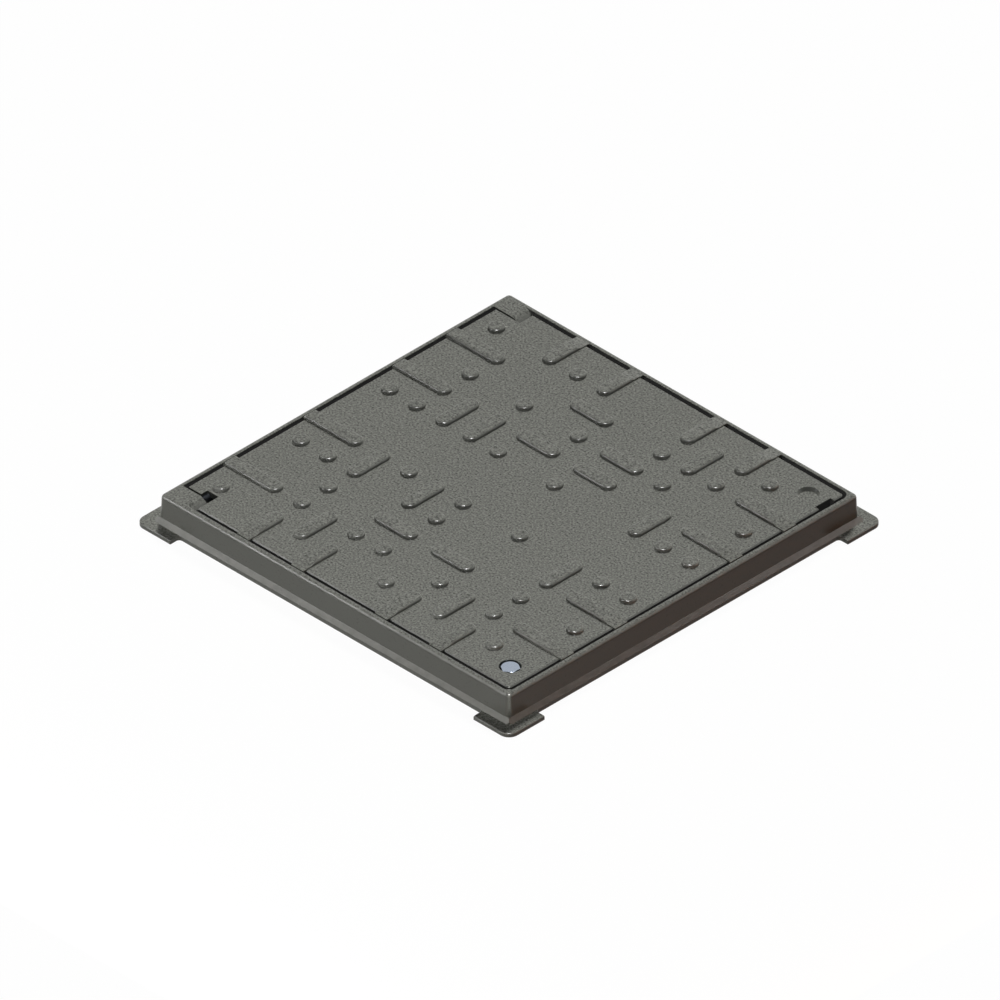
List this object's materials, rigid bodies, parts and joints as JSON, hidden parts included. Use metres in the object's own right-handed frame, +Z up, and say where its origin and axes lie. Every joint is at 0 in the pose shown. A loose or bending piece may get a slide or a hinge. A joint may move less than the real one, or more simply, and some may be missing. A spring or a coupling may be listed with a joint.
{
  "type": "manhole cover",
  "caption": "Square hinged manhole cover in a low cast frame with corner tabs, raised stud and bar tread, and a quarter-turn lock at one corner.",
  "frame": {"origin": "middle of the square in plan, on the bedding face under the corner tabs", "axes": "+X from the hinge edge to the lock edge, +Y to the right of a person who stands at the lock edge and faces the hinge edge, +Z up"},
  "size_m": [0.642, 0.642, 0.0485],
  "materials": {
    "cast_iron": "dark coated casting",
    "stainless_steel": "satin",
    "dark_steel": "blackened and oiled",
    "rubber": "matt"
  },
  "bodies": {
    "frame": {"frame": "cast_iron", "lock_side_seat_strip": "rubber", "left_seat_strip": "rubber", "right_seat_strip": "rubber"},
    "cover": {"cover": "cast_iron", "left_hinge_pin": "dark_steel", "right_hinge_pin": "dark_steel", "left_roll_pin": "dark_steel", "right_roll_pin": "dark_steel"},
    "lock": {"lock_bolt": "stainless_steel", "lock_seal_ring": "rubber", "lock_latch": "stainless_steel", "lock_washer": "stainless_steel", "lock_spring_washer": "dark_steel", "lock_nut": "stainless_steel"}
  },
  "joints": [
    {"name": "cover_hinge", "type": "hinge", "parent": "frame", "child": "cover", "pos_m": [-0.2645, 0, 0.034], "axis": [0, -1, 0], "range_deg": [0, 105]},
    {"name": "lock_turn", "type": "hinge", "parent": "cover", "child": "lock", "pos_m": [0.256, -0.254, 0.036], "axis": [0, 0, -1], "range_deg": [0, 90]}
  ]
}
